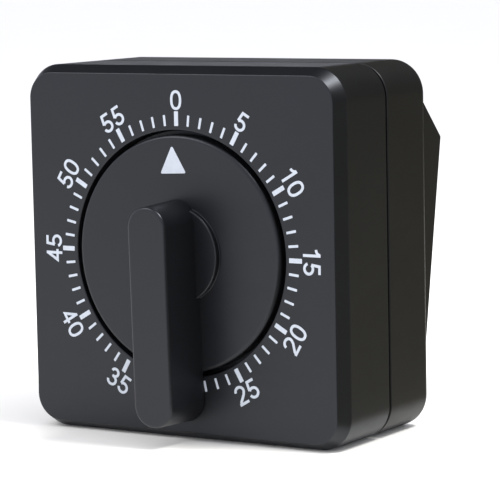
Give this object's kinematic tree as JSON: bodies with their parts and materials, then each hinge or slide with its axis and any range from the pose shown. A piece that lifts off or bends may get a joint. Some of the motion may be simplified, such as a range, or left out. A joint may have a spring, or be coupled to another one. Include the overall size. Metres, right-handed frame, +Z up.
{
  "type": "kitchen timer",
  "caption": "Square black mechanical kitchen timer with a turning dial knob and a wedge back, its wound movement and bell inside a screwed two-shell case.",
  "frame": {"origin": "middle of the bounding box's underside, with the timer standing on its flat bottom", "axes": "+Z up, towards the 0 mark; -Y out of the dial face; +X to the right of someone reading the dial"},
  "size_m": [0.076, 0.0571, 0.076],
  "materials": {
    "black_plastic": "satin",
    "steel": "satin",
    "brass": "satin",
    "blued_steel": "satin",
    "bell_steel": "polished"
  },
  "bodies": {
    "case": {"front_shell": "black_plastic", "rear_shell": "black_plastic", "case_screw_1": "steel", "case_screw_2": "steel", "case_screw_3": "steel", "case_screw_4": "steel", "front_plate": "steel", "rear_plate": "steel", "pillar_1": "brass", "pillar_2": "brass", "pillar_3": "brass", "pillar_4": "brass", "pillar_screw_1": "steel", "pillar_screw_2": "steel", "pillar_screw_3": "steel", "pillar_screw_4": "steel", "movement_screw_1": "steel", "movement_screw_2": "steel", "movement_screw_3": "steel", "movement_screw_4": "steel", "bell": "bell_steel", "bell_post": "steel", "bell_screw": "steel", "hammer_pin": "steel", "mainspring": "blued_steel", "hairspring": "blued_steel"},
    "knob": {"dial_knob": "black_plastic", "winding_arbor": "steel", "main_wheel": "brass", "ratchet_wheel": "steel", "alarm_cam": "steel", "click_rivet": "steel", "click_spring": "blued_steel"},
    "click": {"click": "steel"},
    "second_arbor_set": {"second_arbor": "steel", "second_pinion": "steel", "second_wheel": "brass"},
    "third_arbor_set": {"third_arbor": "steel", "third_pinion": "steel", "third_wheel": "brass"},
    "escape_arbor_set": {"escape_arbor": "steel", "escape_pinion": "steel", "escape_wheel": "brass"},
    "pallet": {"pallet_lever": "steel", "pallet_arbor": "steel"},
    "balance": {"balance_wheel": "brass", "balance_staff": "steel"},
    "hammer": {"hammer_lever": "steel", "hammer_head": "brass"}
  },
  "joints": [
    {"name": "knob_turn", "type": "hinge", "parent": "case", "child": "knob", "pos_m": [0, -0.01686, 0.038], "axis": [0, 1, 0], "range_deg": [0, 354]},
    {"name": "click_lift", "type": "hinge", "parent": "knob", "child": "click", "pos_m": [0.0023, 0.00264, 0.0466], "axis": [0, 1, 0], "range_deg": [-8, 0], "stiffness_Nm_per_rad": 0.002},
    {"name": "second_turn", "type": "hinge", "parent": "case", "child": "second_arbor_set", "pos_m": [-0.01364, -0.00156, 0.03012], "axis": [0, 1, 0], "continuous": true},
    {"name": "third_turn", "type": "hinge", "parent": "case", "child": "third_arbor_set", "pos_m": [-0.00445, -0.00156, 0.02241], "axis": [0, 1, 0], "continuous": true},
    {"name": "escape_turn", "type": "hinge", "parent": "case", "child": "escape_arbor_set", "pos_m": [0.00635, -0.00156, 0.02241], "axis": [0, 1, 0], "continuous": true},
    {"name": "pallet_rock", "type": "hinge", "parent": "case", "child": "pallet", "pos_m": [0.01307, -0.00156, 0.02712], "axis": [0, 1, 0], "range_deg": [-3, 3]},
    {"name": "balance_swing", "type": "hinge", "parent": "case", "child": "balance", "pos_m": [0.01897, -0.00156, 0.03391], "axis": [0, 1, 0], "range_deg": [-120, 120], "stiffness_Nm_per_rad": 0.00001},
    {"name": "hammer_strike", "type": "hinge", "parent": "case", "child": "hammer", "pos_m": [0.017, 0.00674, 0.03], "axis": [0, 1, 0], "range_deg": [-6, 0]}
  ],
  "couplings": [
    {"joint": "second_turn", "follows": "knob_turn", "ratio": -6},
    {"joint": "third_turn", "follows": "knob_turn", "ratio": 30},
    {"joint": "escape_turn", "follows": "knob_turn", "ratio": -150}
  ]
}
